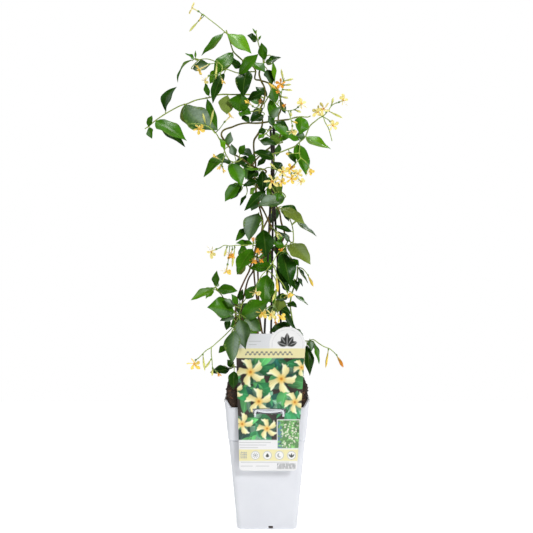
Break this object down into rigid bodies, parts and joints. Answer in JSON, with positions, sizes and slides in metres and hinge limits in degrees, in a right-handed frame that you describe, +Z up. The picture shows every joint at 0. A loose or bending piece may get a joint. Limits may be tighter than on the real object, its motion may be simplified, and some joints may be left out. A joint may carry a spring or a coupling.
{
  "type": "potted star jasmine",
  "caption": "Climbing evergreen twining up a tripod of thin canes, with glossy leaves and starry cream flowers, in a square tapered pot with a hanging label.",
  "frame": {"origin": "centre of the pot's flat base, on the surface it stands on", "axes": "+Z up the plant, -Y out of the side that the label hangs on, +X to the right seen from there"},
  "size_m": [0.2798, 0.1512, 0.7253],
  "materials": {
    "pot": "satin moulded plastic, slightly blue white",
    "soil": "rough dark peat with root fibres",
    "label": null,
    "cane": "dark stained cane",
    "tie": "matt black",
    "vine": "thin brown bark, green where young",
    "leaf": "glossy leathery green, paler beneath",
    "flower": "soft cream petals with yellow throats, on light green stalks"
  },
  "bodies": {
    "root": {"pot": "pot", "soil": "soil", "label": "label", "cane_left": "cane", "cane_right": "cane", "cane_back": "cane", "tie": "tie", "vine_back": "vine", "vine_inner": "vine", "vine_loop": "vine", "vine_twining": "vine", "runner_left": "leaf", "shoot_back_crown": "leaf", "shoot_back_high": "leaf", "shoot_back_low": "leaf", "shoot_back_mid": "leaf", "shoot_back_mid_low": "leaf", "shoot_base_right": "leaf", "shoot_big_leaf": "leaf", "shoot_centre_left": "leaf", "shoot_crown_left": "leaf", "shoot_crown_mid": "leaf", "shoot_crown_out": "leaf", "shoot_hook": "leaf", "shoot_label": "leaf", "shoot_loop_right": "leaf", "shoot_low_far": "leaf", "shoot_low_left": "leaf", "shoot_low_mid": "leaf", "shoot_lower_left": "leaf", "shoot_mid_left": "leaf", "shoot_mid_low_left": "leaf", "shoot_mid_right": "leaf", "shoot_right": "leaf", "shoot_rim": "leaf", "shoot_side_right": "leaf", "shoot_skirt": "leaf", "shoot_skirt_low": "leaf", "shoot_tie": "leaf", "spray_big_leaf": "flower", "spray_centre": "flower", "spray_crown_out": "flower", "spray_crown_right": "flower", "spray_front_low": "flower", "spray_hang_left": "flower", "spray_hang_right": "flower", "spray_heart": "flower", "spray_label": "flower", "spray_left": "flower", "spray_left_gold": "flower", "spray_low_left": "flower", "spray_low_right": "flower", "spray_node": "flower", "spray_right": "flower", "spray_right_low": "flower", "spray_tie": "flower", "spray_top": "flower", "spray_trunk": "flower"}
  },
  "joints": []
}
